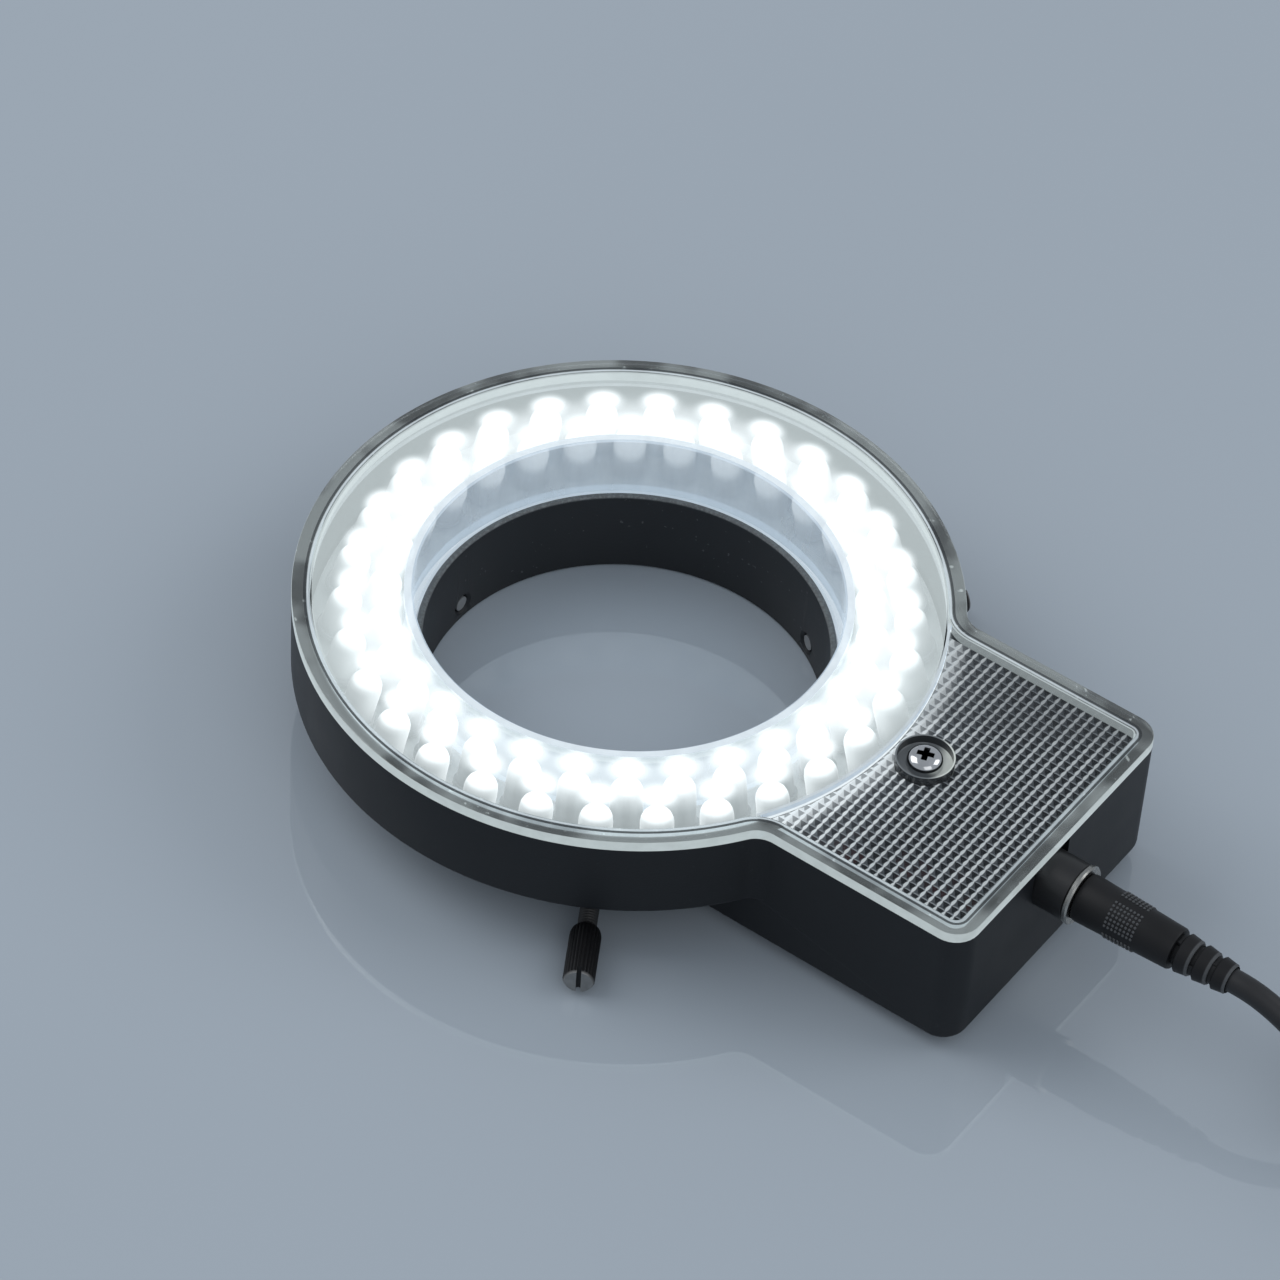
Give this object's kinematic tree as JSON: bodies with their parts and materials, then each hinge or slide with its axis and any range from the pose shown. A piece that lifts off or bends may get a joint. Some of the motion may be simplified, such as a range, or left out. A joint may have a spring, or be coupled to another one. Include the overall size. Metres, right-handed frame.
{
  "type": "microscope ring light",
  "caption": "Black microscope ring light with staggered rows of white LEDs under a clear cover, thumbscrew collar and a plugged-in low-voltage cord.",
  "frame": {"origin": "on the bore's axis at the collar's free end, which stands on the table", "axes": "+Z along the bore's axis, out of the light face; +X from the bore towards the box and the socket"},
  "size_m": [0.2389, 0.1125, 0.0255],
  "materials": {
    "black_paint": "matte",
    "clear_cover": "clear, polished",
    "led_epoxy": "clear epoxy, lit",
    "white_board": "solder mask",
    "green_board": "solder mask",
    "screw_steel": "plated",
    "black_steel": "black oxide, knurled",
    "pad_nylon": "natural nylon",
    "lock_alloy": "turned",
    "socket_black": "moulded",
    "contact_metal": "nickel plated",
    "cord_rubber": "soft matte",
    "tie_black": "woven strap",
    "wire_red": "insulation",
    "wire_black": "insulation",
    "chip_black": "moulded",
    "capacitor_blue": "sleeve",
    "ferrite": "ferrite",
    "connector_white": "moulded"
  },
  "bodies": {
    "light": {"housing": "black_paint", "mounting_collar": "black_paint", "lock_ring": "lock_alloy", "front_cover": "clear_cover", "cover_screw": "screw_steel", "led_board": "white_board", "led_row_outer": "led_epoxy", "led_row_inner": "led_epoxy", "led_board_screws": "screw_steel", "driver_board": "green_board", "driver_board_screws": "screw_steel", "driver_capacitors": "capacitor_blue", "driver_inductor": "ferrite", "driver_chip": "chip_black", "driver_connectors": "connector_white", "led_board_connector": "connector_white", "wires_red": "wire_red", "wires_black": "wire_black", "socket_body": "socket_black", "socket_ring": "contact_metal", "socket_pin": "contact_metal", "socket_tags": "contact_metal", "plug_barrel": "contact_metal", "plug_grip": "cord_rubber", "power_cord": "cord_rubber", "cord_coil": "cord_rubber", "cord_tie": "tie_black", "far_plug_grip": "cord_rubber", "far_plug_barrel": "contact_metal"},
    "pad_60": {"thumbscrew_pad_60": "pad_nylon"},
    "pad_180": {"thumbscrew_pad_180": "pad_nylon"},
    "pad_300": {"thumbscrew_pad_300": "pad_nylon"},
    "screw_60": {"thumbscrew_60": "black_steel"},
    "screw_180": {"thumbscrew_180": "black_steel"},
    "screw_300": {"thumbscrew_300": "black_steel"}
  },
  "joints": [
    {"name": "pad_60_travel", "type": "slide", "parent": "light", "child": "pad_60", "axis": [-0.5, -0.866, 0], "range_m": [-0.0015, 0.012]},
    {"name": "screw_60_turn", "type": "hinge", "parent": "pad_60", "child": "screw_60", "pos_m": [0.02365, 0.04096, 0.003], "axis": [-0.5, -0.866, 0], "range_deg": [-1081, 8641]},
    {"name": "pad_180_travel", "type": "slide", "parent": "light", "child": "pad_180", "axis": [1, 0, 0], "range_m": [-0.0015, 0.012]},
    {"name": "screw_180_turn", "type": "hinge", "parent": "pad_180", "child": "screw_180", "pos_m": [-0.0473, 0, 0.003], "axis": [1, 0, 0], "range_deg": [-1081, 8641]},
    {"name": "pad_300_travel", "type": "slide", "parent": "light", "child": "pad_300", "axis": [-0.5, 0.866, 0], "range_m": [-0.0015, 0.012]},
    {"name": "screw_300_turn", "type": "hinge", "parent": "pad_300", "child": "screw_300", "pos_m": [0.02365, -0.04096, 0.003], "axis": [-0.5, 0.866, 0], "range_deg": [-1081, 8641]}
  ],
  "couplings": [
    {"joint": "screw_60_turn", "follows": "pad_60_travel", "rad_per_m": 12566},
    {"joint": "screw_180_turn", "follows": "pad_180_travel", "rad_per_m": 12566},
    {"joint": "screw_300_turn", "follows": "pad_300_travel", "rad_per_m": 12566}
  ]
}
